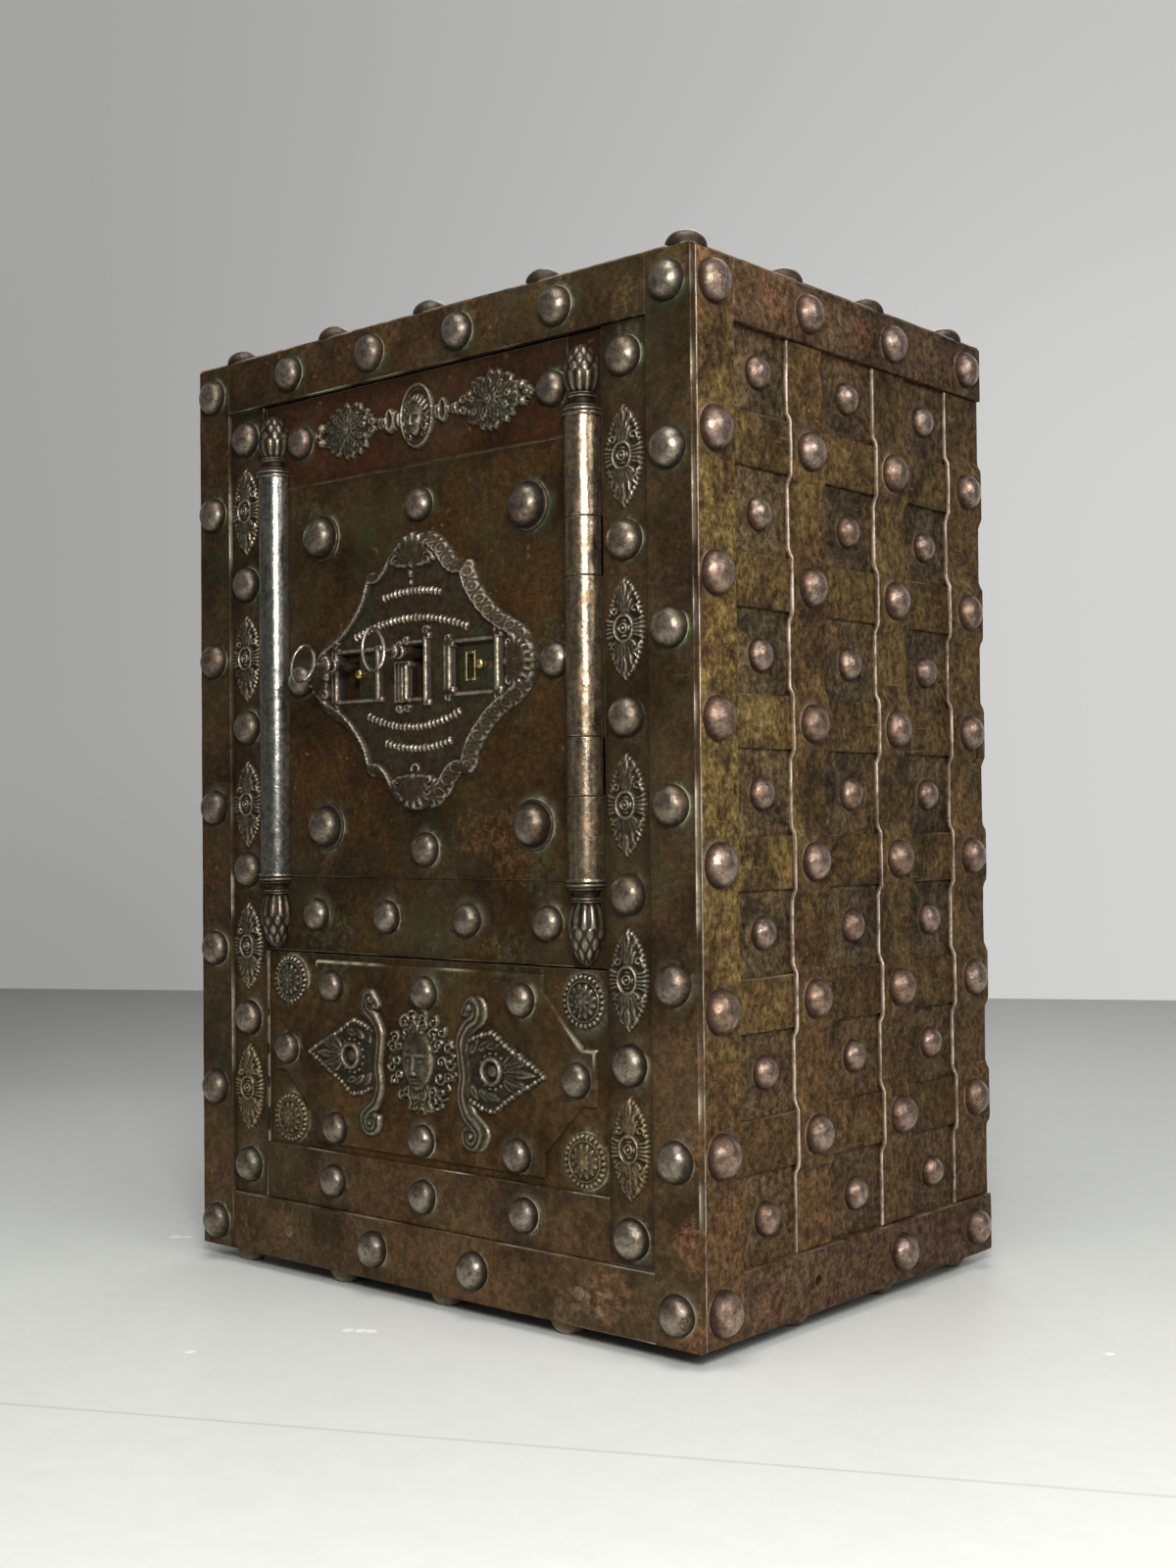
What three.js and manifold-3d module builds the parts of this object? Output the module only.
// Iron strongbox: an oak carcass sheathed in studded iron, with straps woven over its sides,
// a door on a barrel hinge that is dressed as a column, and three bolts thrown by keys.
// Lengths are in millimetres, +Z is up and the front faces -Y.
// The origin is on the floor, under the middle of the body.

import * as THREE from 'three';
import { mergeVertices } from 'three/addons/utils/BufferGeometryUtils.js';
import Module from 'manifold-3d';

const wasm = await Module();
wasm.setup();

// Driving dimensions

// Body, over its straps and without its studs
const bodyWidth = 646;
const bodyDepth = 475;
const bodyHeight = 900;
const footHeight = 15;

// Clearances
const seatGap = 0.3; // between pieces that lie on each other
const slideGap = 0.4; // between a sliding piece and its guide
const runGap = 1.2; // round a piece that turns
const pinGap = 0.4; // round a hinge pin
const doorGap = 1.5; // round the door in its opening
const overrun = 3; // how far a cut runs past a face
const root = 2; // how deep a stud or an ornament is rooted in its plate
const weldLength = 0.0001;

// Studs
const frameStudRadius = 16.5;
const cornerStudRadius = 18;
const recessStudRadius = 14;
const panelStudRadius = 14.5;
const doorStudRadius = 15;
const bossRadius = 21.5;
const bossFlangeHeight = 2.5;
const bossDomeShare = 0.83;
const studRiseShare = 0.86;
const studRings = 2;
const frontStudSides = 8;
const sideStudSides = 6;
const wireSides = 5;
const ringSteps = 12;
const flatRivetRadius = 6;
const flatRivetHeight = 1;

// Front frame
const stileWidth = 48;
const topRailHeight = 50;
const bottomRailHeight = 58;
const framePlate = 7;
const innerStileWidth = 51;
const innerStileRecess = 3.5;
const jambFlange = 6;
const jambDepth = 82;
const lozengeWidth = 40;
const lozengeHeight = 86;
const lozengeThickness = 3;
const lozengeBossRadius = 8;
const lozengeBossHeight = 4;

// Fixed lower front
const sillHeight = 303;
const panelRecess = 7;
const panelPlate = 5;
const lowerBandHeight = 55;
const raisedPlateThickness = 3.7;
const raisedPlateSideMargin = 14;
const raisedPlateTopMargin = 6;
const raisedPlateBottomMargin = 7;
const medallionRadius = 24;
const medallionMargin = 3;
const medallionThickness = 4;
const medallionRise = 3;
const maskWidth = 98;
const maskMargin = 41;
const maskLift = 2;
const maskThickness = 5;
const maskFaceWidth = 40;
const maskFaceHeight = 54;
const maskFaceRise = 9;
const maskLobes = 9;
const maskLobeShare = 0.14;
const scrollMargin = 16;
const scrollTipGap = 22.5;
const scrollThickness = 5;
const scrollInset = 48;
const scrollRingRadius = 12;
const scrollRingWire = 3;

// Iron sheathing and oak carcass
const sheetThickness = 3;
const strapThickness = 4;
const cornerStrapWidth = 59;
const weaveStrapWidth = 54;
const backStrapWidth = 64;
const rowStrapWidth = 46;
const joggleLength = 9;
const topBandHeight = 52;
const bottomBandHeight = 55;
const lostStudHoleRadius = 4;
const endPlate = 4;
const topPlateLift = 2.5;
const topPlateMargin = 1.5;
const oakThickness = 40;
const footRadius = 17;
const footFlatRadius = 9;

// Compartment floor, well lid and shelf
const floorThickness = 18;
const floorDrop = 5;
const lidWidth = 236;
const lidDepth = 235;
const lidThickness = 8;
const lidLedge = 14;
const lidHingeSetback = 125;
const lidKnuckleRadius = 5;
const lidKnuckleLift = 5.5;
const lidHeel = 1.5;
const lidKnuckleLength = 120;
const lidEarLength = 20;
const lidEarDepth = 14;
const lidPinRadius = 2.4;
const ringRadius = 16;
const ringWire = 2;
const ringEyeRadius = 5;
const ringEyeWire = 1.7;
const ringInset = 70;
const shelfThickness = 15;
const shelfRiseShare = 0.55;
const shelfSetback = 14;
const ledgeHeight = 14;
const ledgeWidth = 12;

// Door
const doorRecess = 6;
const doorPlate = 5;
const headerHeight = 87;
const doorFootHeight = 75;
const coreThickness = 30;
const coreInset = 12;
const backPlate = 3;

// Columns and door hinge
const columnInset = 19.7;
const columnProud = 4;
const columnRadius = 16.5;
const collarRadius = 18.8;
const columnFootMargin = 2;
const columnHeadMargin = 12;
const upperFinialLength = 44;
const lowerFinialLength = 56;
const collarLength = 20;
const columnSides = 12;
const knuckleHeight = 50;
const knuckleJoint = 0.5;
const hingePinRadius = 5;
const hingePinMargin = 14;
const leafThickness = 4;
const leafDepth = 40;

// Header ornaments
const rosetteHeight = 50;
const rosetteThickness = 4;
const rosetteInset = 57;
const rosetteStudGap = 7;
const rosetteLobes = 8;
const rosetteLobeShare = 0.22;
const rosetteDomeRadius = 13;
const rosetteDomeHeight = 6;
const headMedallionWidth = 46;
const headMedallionHeight = 62;
const headMedallionThickness = 4;
const headMedallionLobes = 10;
const headMedallionLobeShare = 0.06;
const headWidth = 26;
const headHeight = 38;
const headRise = 11;
const spoolRadius = 6;
const spoolReach = 54;

// Lock cartouche with its windows and shutters
const cartoucheSideGap = 3.4;
const cartoucheEndGap = 10.4;
const cartoucheThickness = 7.5;
const cartoucheBorder = 12;
const cartoucheBorderRise = 3.5;
const shellRadius = 17;
const shellRise = 6;
const shellCrownShare = 0.7;
const windowHeight = 42;
const windowLift = -1;
const centreWindowWidth = 16;
const centreWindowHeight = 48;
const centreWindowLift = -1.5;
const mouldingWidth = 9;
const mouldingRise = 3;
const mouldingOver = 5;
const shutterThickness = 2.6;
const shutterLap = 3.5;
const shutterKnobRadius = 4.6;
const shutterKnobStem = 2.4;
const leftShutterTravel = 8;
const rightShutterTravel = 8;
const keySlotWidth = 8;
const keySlotHeight = 22;
const bezelWidth = 2.6;
const bezelRise = 1.4;

// Lock, keys and bolts
const leftKeyLift = 8;
const leftKeyLean = 18;
const centreKeyLift = 15;
const rightKeyDrop = 4;
const keyholeRadius = 5.6;
const keyholeSlot = 7;
const shankRadius = 4.4;
const shankCollarRadius = 6.4;
const shankCollarReach = 22;
const shankCollarLength = 12;
const shankNeckShare = 0.7;
const keyWire = 1.9;
const bowDepth = 30;
const centreBowHeight = 42;
const leftBowHeight = 38;
const centreBowReach = 56;
const leftBowReach = 60;
const centreBitReach = 26;
const sideBitReach = 17;
const bitThickness = 5;
const bitBite = 5;
const caseAbove = 66;
const caseBelow = 42;
const caseWall = 3;
const caseTail = 25;
const coverLap = 6;
const coverThickness = 3;
const keySocketRadius = 8;
const keySocketLength = 9;
const boltThrow = 25;
const boltThickness = 12;
const mainBarHeight = 16;
const sideBarHeight = 13;
const barTail = 8;
const boltHeadHeight = 24;
const carriageWidth = 18;
const carriageThickness = 6;
const carriageOver = 16;
const stapleWidth = 9;
const stapleWall = 4;
const stapleInset = 1;
const mortiseMargin = 5;

// Places, as shares of the sizes that they follow

// Heights of the side straps and of the studs between them, as shares of the body's height
const rowShares = [0.172, 0.303, 0.436, 0.57, 0.703, 0.836];
const recessRowShares = [0.102, 0.239, 0.37, 0.502, 0.633, 0.767, 0.902];
// Middles of the two inner woven straps and of the bays, as shares of half the depth
const weaveShares = [-0.292, 0.292];
const bayShares = [-0.58, 0, 0.562];
// Back straps, as shares of the body's height, and their studs, as shares of half the width
const backRowShares = [0.35, 0.65];
const backStudShares = [-0.45, 0, 0.45];
// Studs of the front frame, as shares of the body's height or of half the width
const leftStileShares = [0.028, 0.18, 0.337, 0.497, 0.664, 0.832, 0.967];
const rightStileShares = [0.031, 0.168, 0.328, 0.491, 0.653, 0.817, 0.97];
const topRailShares = [-0.55, -0.186, 0.177, 0.545];
const bottomRailShares = [-0.2, 0.207];
const flatRivetShares = [-0.58, 0.597];
const leftInnerStudShares = [0.097, 0.261, 0.427, 0.586, 0.747, 0.911];
const rightInnerStudShares = [0.091, 0.251, 0.409, 0.574, 0.739, 0.911];
const leftLozengeShares = [0.183, 0.341, 0.5, 0.664, 0.83];
const rightLozengeShares = [0.174, 0.33, 0.492, 0.656, 0.817];
// Studs of the top and the feet, as shares of half the width and half the depth
const topColumnShares = [-0.842, -0.4, 0.012, 0.458];
const topRowShares = [-0.333, 0.227, 0.825];
const footColumnShares = [-0.85, -0.405, 0.03, 0.49, 0.905];
const footRowShares = [-0.89, -0.292, 0.292, 0.863];
// Fixed lower front: studs of the band, and studs and medallions of the panel
const bandStudShares = [-0.55, 0, 0.567];
const raisedStudShares = [[-0.59, 0.73], [0.02, 0.73], [0.6, 0.73], [-0.57, -0.81], [0, -0.81], [0.57, -0.81],
  [-0.905, 0], [0.905, 0]];
const medallionShares = [-0.9, 0.935];
const raisedOutlineShares = [[0.714, 1], [0.714, 0.83], [0.929, 0.3], [1, 0.3], [1, -0.25], [0.929, -0.25],
  [0.714, -0.77], [0.714, -1]];
// One side of the scroll ornament, from its top curl round the beaded leaf to its bottom curl
const scrollOutlineShares = [[0.02, 0.9], [0.12, 1], [0.32, 0.97], [0.42, 0.83], [0.4, 0.72], [0.52, 0.66],
  [0.56, 0.5], [0.78, 0.3], [1, 0.03], [0.8, -0.12], [0.56, -0.32], [0.5, -0.55], [0.38, -0.62], [0.32, -0.5],
  [0.24, -0.8], [0.12, -0.97], [0, -0.94], [0.02, -0.78], [0.12, -0.66], [0.1, -0.5], [0, -0.3], [0.02, 0.3],
  [0.1, 0.52], [0.16, 0.75], [0.06, 0.78]];
const scrollRingShare = 0.4;
// Profiles of a round medallion's rim, of half the spool and of a knob's ball
const medallionRimShares = [[0.92, 1], [0.78, 1], [0.7, 0.5]];
const spoolShares = [[1, 0.65], [0.5, 0.75], [0.5, 0.9], [1, 1]];
const knobBallShares = [[1, 0.5], [1, 1], [0.5, 1.7], [0, 1.8]];
// Quarter of the lozenge, from its top point to its side point
const lozengeOutlineShares = [[0, 1], [0.52, 0.7], [0.56, 0.48], [0.88, 0.3], [1, 0]];
// Quarter of the cartouche, from its top to its side point
const cartoucheOutlineShares = [[0, 1], [0.14, 0.98], [0.25, 0.89], [0.345, 0.76], [0.46, 0.74], [0.535, 0.56],
  [0.68, 0.38], [0.9, 0.23], [1, 0]];
// Door studs and bosses, as shares of half the opening's width and of the centre plate's height
const bossShares = [[-0.612, 0.857], [0.612, 0.857], [-0.59, 0.127], [0.625, 0.127]];
const centreSideStudShare = 0.752;
const centreTopStudShare = 0.901;
const centreStudShares = [[0, centreTopStudShare], [0.022, 0.07], [-centreSideStudShare, 0.499],
  [centreSideStudShare, 0.499]];
const footStudShares = [-0.66, -0.214, 0.259, 0.7];
const headerStudShare = 0.745;
const headerStudRiseShare = 0.49;
const headerOrnamentRiseShare = 0.51;
// Across the cartouche, as shares of half its width: the inner and outer ends of the side windows, the keys,
// the width of the left shutter and the ends of the lock case
const sideWindowShares = [0.3467, 0.68];
const leftKeyShare = 0.587;
const centreKeyShare = 0.0267;
const rightKeyShare = 0.447;
const leftShutterShare = 0.247;
const caseShares = [0.833, 0.72];
// Lower ends of the two knuckles, as shares of the column's length
const knuckleShares = [0.274, 0.625];
// Profiles of the finials, as pairs of radius and length from the collar, in shares
const upperFinialShares = [[0.6, 0.1], [0.94, 0.28], [1, 0.52], [0.72, 0.84], [0.3, 0.97]];
const lowerFinialShares = [[0.62, 0.16], [0.96, 0.32], [0.96, 0.5], [0.62, 0.82], [0.2, 0.98]];
const collarShares = [[1, 0], [1, 0.24], [0.84, 0.34], [0.97, 0.5], [0.72, 0.7]];
// Heights of the main bolt's two heads, as shares of the door opening's height
const boltHeadShares = [0.214, 0.799];

// Places that follow from the sizes

const halfWidth = bodyWidth / 2;
const halfDepth = bodyDepth / 2;
const frontY = -halfDepth;
const stileInnerX = halfWidth - stileWidth;
const openingX = stileInnerX - innerStileWidth;
const topRailZ = bodyHeight - topRailHeight;
const frameBackY = frontY + framePlate;
const innerFaceY = frontY + innerStileRecess;
const jambBackY = innerFaceY + jambDepth;
const jambX = openingX + jambFlange;

const weaveX = halfWidth - strapThickness;
const sheetX = weaveX - strapThickness;
const sheetInnerX = sheetX - sheetThickness;
const oakX = sheetInnerX - seatGap;
const cavityX = oakX - oakThickness;
const sideFrontY = frameBackY + seatGap;
const backSheetY = halfDepth - strapThickness;
const backInnerY = backSheetY - sheetThickness;
const oakBackY = backInnerY - seatGap;
const cavityBackY = oakBackY - oakThickness;
const oakBottomZ = endPlate + seatGap;
const cavityBottomZ = oakBottomZ + oakThickness;
const oakTopZ = bodyHeight - endPlate - seatGap;
const cavityTopZ = oakTopZ - oakThickness;
const cornerStrapY = frontY + cornerStrapWidth / 2;
const backStrapY = halfDepth - backStrapWidth / 2;
const rowZs = rowShares.map((share) => share * bodyHeight);
const topBandZ = bodyHeight - topBandHeight;

const panelFaceY = frontY + panelRecess;
const panelBackY = panelFaceY + panelPlate;
const panelBottomZ = bottomRailHeight + seatGap;
const bandTopZ = bottomRailHeight + lowerBandHeight;
const raisedPlateWidth = (openingX - raisedPlateSideMargin) * 2;
const raisedPlateHeight = sillHeight - raisedPlateTopMargin - bandTopZ - raisedPlateBottomMargin;
const raisedPlateZ = sillHeight - raisedPlateTopMargin - raisedPlateHeight / 2;
const scrollStudX = raisedStudShares.at(-1)[0] * raisedPlateWidth / 2;
const scrollWidth = scrollStudX - panelStudRadius - scrollTipGap - scrollInset;
const scrollHeight = raisedPlateHeight - scrollMargin * 2;
const maskHeight = raisedPlateHeight - maskMargin * 2;
const raisedFaceY = panelFaceY - seatGap - raisedPlateThickness;
const floorTopZ = sillHeight - floorDrop;
const floorBottomZ = floorTopZ - floorThickness;
const lidHingeY = lidHingeSetback;
const lidFrontY = lidHingeY - lidHeel - lidDepth;
const lidAxisZ = floorTopZ + lidKnuckleLift;
const shelfBottomZ = floorTopZ + shelfRiseShare * (cavityTopZ - floorTopZ);

const doorFaceY = frontY + doorRecess;
const plateBackY = doorFaceY + doorPlate;
const doorLeftX = doorGap - openingX;
const doorBottomZ = sillHeight + doorGap;
const doorTopZ = topRailZ - doorGap;
const footPlateTopZ = sillHeight + doorFootHeight;
const headerBottomZ = topRailZ - headerHeight;
const centrePlateHeight = headerBottomZ - footPlateTopZ;
const coreFrontY = plateBackY + seatGap;
const coreBackY = coreFrontY + coreThickness;
const coreX = openingX - coreInset;
const backPlateY = coreBackY + seatGap;
const boltFrontY = backPlateY + backPlate + slideGap;
const boltBackY = boltFrontY + boltThickness;

const hingeX = openingX - columnInset;
const hingeY = doorFaceY - columnProud;
const plateRightX = hingeX - collarRadius - runGap;
const stripLeftX = plateRightX + seatGap;
const stripRightX = openingX - doorGap;
const columnBottomZ = sillHeight + columnFootMargin;
const columnTopZ = topRailZ - columnHeadMargin;
const columnLength = columnTopZ - columnBottomZ;
const shaftBottomZ = columnBottomZ + lowerFinialLength + collarLength;
const shaftTopZ = columnTopZ - upperFinialLength - collarLength;
const knuckleZs = knuckleShares.map((share) => columnBottomZ + share * columnLength);

const lockZ = (footPlateTopZ + headerBottomZ) / 2;
const rosetteWidth = headerStudShare * openingX - doorStudRadius - rosetteStudGap - rosetteInset;
const cartoucheWidth = (centreSideStudShare * openingX - doorStudRadius - cartoucheSideGap) * 2;
const cartoucheTopZ = footPlateTopZ + centreTopStudShare * centrePlateHeight - doorStudRadius - cartoucheEndGap;
const cartoucheHeight = (cartoucheTopZ - lockZ) * 2;
const leftKeyOffset = leftKeyShare * cartoucheWidth / 2;
const centreKeyOffset = centreKeyShare * cartoucheWidth / 2;
const rightKeyOffset = rightKeyShare * cartoucheWidth / 2;
const leftShutterWidth = leftShutterShare * cartoucheWidth / 2;
const [caseLeft, caseRight] = caseShares.map((share) => share * cartoucheWidth / 2);
const cartoucheBackY = doorFaceY - seatGap;
const cartoucheFaceY = cartoucheBackY - cartoucheThickness;
const pocketDepth = shutterThickness + slideGap * 2;
const shutterBackY = cartoucheBackY - slideGap;
const leftKeyZ = lockZ + leftKeyLift;
const centreKeyZ = lockZ + centreKeyLift;
const rightKeyZ = lockZ - rightKeyDrop;
const caseFrontY = coreFrontY;
const caseBackY = backPlateY + backPlate + caseTail;
const keyTailY = caseBackY - seatGap - overrun;
const mainBarZ = centreKeyZ + centreBitReach - bitBite;
const leftBarZ = leftKeyZ + sideBitReach - bitBite;
const rightBarZ = rightKeyZ + sideBitReach - bitBite;
const boltTipX = coreX + stapleInset;
const stapleX = coreX - stapleInset - stapleWidth;
const carriageX = stapleX - runGap - boltThrow - carriageWidth;
const carriageFrontY = boltBackY + slideGap;
const carriageBackY = carriageFrontY + carriageThickness;
const boltHeadZs = boltHeadShares.map((share) => sillHeight + share * (topRailZ - sillHeight));

// Joining and cutting closed shapes

function toSolid(geometry) {
  const bare = new THREE.BufferGeometry();
  bare.setAttribute('position', geometry.getAttribute('position'));
  bare.setIndex(geometry.getIndex());
  const welded = mergeVertices(bare, weldLength);
  const corners = welded.getIndex().array;
  const triangles = [];
  for (let i = 0; i < corners.length; i += 3) {
    const [a, b, c] = corners.slice(i, i + 3);
    if (a !== b && b !== c && c !== a) triangles.push(a, b, c);
  }
  return new wasm.Manifold(new wasm.Mesh({
    numProp: 3,
    vertProperties: new Float32Array(welded.getAttribute('position').array),
    triVerts: new Uint32Array(triangles),
  }));
}

function toGeometry(solid) {
  const mesh = solid.getMesh();
  const geometry = new THREE.BufferGeometry();
  geometry.setAttribute('position', new THREE.BufferAttribute(mesh.vertProperties, 3));
  geometry.setIndex(new THREE.BufferAttribute(mesh.triVerts, 1));
  geometry.computeVertexNormals();
  return geometry;
}

function fuse(...shapes) {
  return toGeometry(shapes.flat().map(toSolid).reduce((whole, shape) => whole.add(shape)));
}

function cut(shape, ...tools) {
  return toGeometry(tools.flat().map(toSolid).reduce((whole, tool) => whole.subtract(tool), toSolid(shape)));
}

// Basic shapes

function block([x0, x1], [y0, y1], [z0, z1]) {
  const box = new THREE.BoxGeometry(Math.abs(x1 - x0), Math.abs(y1 - y0), Math.abs(z1 - z0));
  return box.translate((x0 + x1) / 2, (y0 + y1) / 2, (z0 + z1) / 2);
}

function shapeOf(points) {
  return new THREE.Shape(points.map(([x, y]) => new THREE.Vector2(x, y)));
}

// An outline in X and Z, as a plate between backY and the face in front of it
function plate(shape, backY, thickness) {
  const solid = new THREE.ExtrudeGeometry(shape, { depth: thickness, bevelEnabled: false });
  return indexed(solid).rotateX(Math.PI / 2).translate(0, backY, 0);
}

// A casting, whose edge slopes in towards its face, rooted this deep in what carries it
function castPlate(shape, backY, thickness, rootDepth = 0) {
  const slope = thickness / 2;
  const solid = new THREE.ExtrudeGeometry(shape, {
    depth: rootDepth + slope, bevelEnabled: true, bevelThickness: slope, bevelSize: slope, bevelOffset: -slope,
    bevelSegments: 1,
  });
  const cast = indexed(solid).rotateX(Math.PI / 2).translate(0, backY + rootDepth, 0);
  return cut(cast, behind(backY + rootDepth));
}

// All that lies behind a plane
function behind(y) {
  return block([-bodyWidth, bodyWidth], [y, y + bodyDepth], [-bodyHeight, bodyHeight * 2]);
}

function indexed(geometry) {
  geometry.deleteAttribute('normal');
  geometry.deleteAttribute('uv');
  return mergeVertices(geometry, weldLength);
}

// A profile of radius and height turned about +Z
function turned(profile, sides) {
  const points = profile.map(([radius, height]) => new THREE.Vector2(radius, height));
  return new THREE.LatheGeometry(points, sides).rotateX(Math.PI / 2);
}

function rod(radius, z0, z1, sides) {
  return turned([[0, z0], [radius, z0], [radius, z1], [0, z1]], sides);
}

// Quarter-ellipse points from the rim of a dome to just under its top
function domeProfile(radius, rise, base) {
  const points = [];
  for (let ring = 0; ring < studRings; ring += 1) {
    const angle = (ring / studRings) * (Math.PI / 2);
    points.push([radius * Math.cos(angle), base + rise * Math.sin(angle)]);
  }
  return points;
}

function stud(radius, sides) {
  const rise = radius * studRiseShare;
  return turned([[0, -root], [radius, -root], ...domeProfile(radius, rise, 0), [0, rise]], sides);
}

function boss() {
  const domeRadius = bossRadius * bossDomeShare;
  const rise = domeRadius * studRiseShare;
  return turned([[0, -root], [bossRadius, -root], [bossRadius, bossFlangeHeight / 2],
    ...domeProfile(domeRadius, rise, bossFlangeHeight), [0, bossFlangeHeight + rise]], frontStudSides);
}

function ellipsoid(width, rise, height, sides) {
  const dome = new THREE.SphereGeometry(1, sides, sides / 2);
  return dome.scale(width / 2, rise, height / 2);
}

// Turning a shape that stands on +Z to face one side of the body
const toFront = (shape) => shape.rotateX(Math.PI / 2);
const toBack = (shape) => shape.rotateX(-Math.PI / 2);
const toSide = (shape, side) => shape.rotateY(side * (Math.PI / 2));
const toFloor = (shape) => shape.rotateX(Math.PI);

function frontStud(radius, x, y, z) {
  return toFront(stud(radius, frontStudSides)).translate(x, y, z);
}

function sideStud(side, radius, x, y, z) {
  return toSide(stud(radius, sideStudSides), side).translate(side * x, y, z);
}

// A shape whose quarter is given as shares, closed by mirroring it across both axes
function mirroredShape(quarterShares, width, height, x, z) {
  const quarter = quarterShares.map(([u, v]) => [u * width / 2, v * height / 2]);
  const back = [...quarter].reverse();
  const turns = [quarter, back.map(([u, v]) => [u, -v]), quarter.map(([u, v]) => [-u, -v]),
    back.map(([u, v]) => [-u, v])];
  const round = turns.flat().filter(([u, v], i, all) => {
    const [pu, pv] = all[(i + all.length - 1) % all.length];
    return Math.hypot(u - pu, v - pv) > weldLength;
  });
  return shapeOf(round.map(([u, v]) => [x + u, z + v]));
}

// A disc with a scalloped edge
function scallopedShape(width, height, lobes, depthShare, x, z) {
  const steps = lobes * 3;
  const points = [];
  for (let step = 0; step < steps; step += 1) {
    const angle = (step / steps) * (Math.PI * 2);
    const reach = 1 - depthShare * (1 - Math.cos(angle * lobes)) / 2;
    points.push([x + width / 2 * reach * Math.cos(angle), z + height / 2 * reach * Math.sin(angle)]);
  }
  return shapeOf(points);
}

// Materials

const finishes = {
  iron: { color: 0x43382c, roughness: 0.55, metalness: 0.7 },
  redIron: { color: 0x4a3024, roughness: 0.55, metalness: 0.65 },
  paleIron: { color: 0x8d8678, roughness: 0.4, metalness: 0.85 },
  ochreIron: { color: 0x5c4a2c, roughness: 0.6, metalness: 0.65 },
  castIron: { color: 0x6b6252, roughness: 0.5, metalness: 0.75 },
  steel: { color: 0xa09a8c, roughness: 0.3, metalness: 0.95 },
  copperySteel: { color: 0xa08468, roughness: 0.32, metalness: 0.95 },
  brass: { color: 0xb08c48, roughness: 0.3, metalness: 0.95 },
  oak: { color: 0x80592f, roughness: 0.75, metalness: 0 },
  darkIron: { color: 0x2e2a26, roughness: 0.6, metalness: 0.6 },
};

function piece(parent, name, finish, geometry, position = [0, 0, 0]) {
  const mesh = new THREE.Mesh(geometry, new THREE.MeshStandardMaterial(finishes[finish]));
  mesh.name = name;
  mesh.position.set(...position);
  parent.add(mesh);
  return mesh;
}

const sides = [['left', -1], ['right', 1]];

// Top, bottom and back plates

// The top plate stands a little above the frame and covers its upper edges. Its studs form a border, closest to
// the edge at the front and on the right.
function topPlate() {
  const x = sheetInnerX - seatGap;
  const [lidX, lidY] = [halfWidth - topPlateMargin, halfDepth - topPlateMargin];
  const [seat, top] = [bodyHeight + seatGap, bodyHeight + topPlateLift];
  const columns = [...topColumnShares.map((share) => share * halfWidth), lidX - frameStudRadius];
  const rows = [frameStudRadius - lidY, ...topRowShares.map((share) => share * halfDepth)];
  const across = columns.flatMap((px) => [[px, rows[0]], [px, rows.at(-1)]]);
  const along = rows.slice(1, -1).flatMap((py) => [[columns[0], py], [columns.at(-1), py]]);
  const studs = [...across, ...along].map(([px, py]) => stud(frameStudRadius, sideStudSides).translate(px, py, top));
  const tray = block([-x, x], [sideFrontY, oakBackY], [bodyHeight - endPlate, seat]);
  return fuse(tray, [block([-lidX, lidX], [-lidY, lidY], [seat, top]), ...studs]);
}

function foot([x, y]) {
  const profile = [[0, -root], [footRadius, -root], [footRadius, footHeight / 3], [footFlatRadius, footHeight],
    [0, footHeight]];
  return toFloor(turned(profile, sideStudSides)).translate(x, y, 0);
}

// The grid of feet leaves out the front right corner, and one foot stands under the middle
function bottomPlate() {
  const x = sheetInnerX - seatGap;
  const grid = footColumnShares.flatMap((u) => footRowShares.map((v) => [u * halfWidth, v * halfDepth]));
  const [cornerX, cornerY] = [footColumnShares.at(-1) * halfWidth, footRowShares[0] * halfDepth];
  const places = grid.filter(([px, py]) => px !== cornerX || py !== cornerY);
  return fuse(block([-x, x], [sideFrontY, oakBackY], [0, endPlate]), [...places, [0, 0]].map(foot));
}

function backPlateWithStraps() {
  const x = sheetInnerX - seatGap;
  const strapX = x - backStrapWidth;
  const solids = [block([-x, x], [backInnerY, backSheetY], [0, bodyHeight])];
  const addStud = (px, pz) => {
    solids.push(toBack(stud(frameStudRadius, sideStudSides)).translate(px, halfDepth, pz));
  };
  const rows = backRowShares.map((share) => share * bodyHeight);
  const bands = [[0, bottomBandHeight], [topBandZ, bodyHeight],
    ...rows.map((z) => [z - rowStrapWidth / 2, z + rowStrapWidth / 2])];
  for (const end of [-1, 1]) {
    solids.push(block([end * strapX, end * x], [backInnerY, halfDepth], [0, bodyHeight]));
  }
  for (const [z0, z1] of bands) {
    solids.push(block([-strapX, strapX], [backInnerY, halfDepth], [z0, z1]));
    for (const end of [-1, 1]) addStud(end * (strapX + x) / 2, (z0 + z1) / 2);
    for (const share of backStudShares) addStud(share * halfWidth, (z0 + z1) / 2);
  }
  return fuse(solids);
}

// Sides: a sheet with row straps and a corner strap, and straps woven over the rows

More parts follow.
